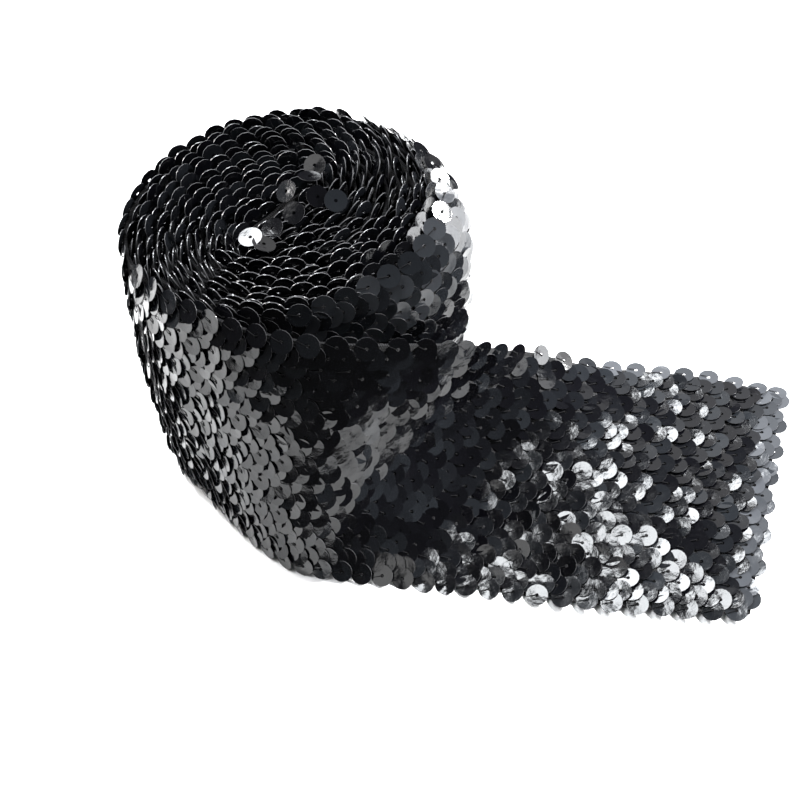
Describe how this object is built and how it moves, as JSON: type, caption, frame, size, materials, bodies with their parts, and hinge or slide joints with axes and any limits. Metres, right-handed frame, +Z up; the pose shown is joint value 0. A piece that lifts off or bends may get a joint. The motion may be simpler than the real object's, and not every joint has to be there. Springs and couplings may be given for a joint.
{
  "type": "roll of sequin trim",
  "caption": "Roll of black sequin trim standing on its edge, its outer end let out, leaning on the roll and lying flat beside it.",
  "frame": {"origin": "on the roll's axis, at the level of the surface that the roll stands on", "axes": "+Z up along the roll's axis, +X towards the free end, which lies out at the roll's right"},
  "size_m": [0.1919, 0.1141, 0.0851],
  "materials": {
    "sequins": "glossy black film",
    "strip": "matt black elastic knit and thread"
  },
  "bodies": {
    "root": {"roll": "sequins", "loose_end": "strip"}
  },
  "joints": []
}
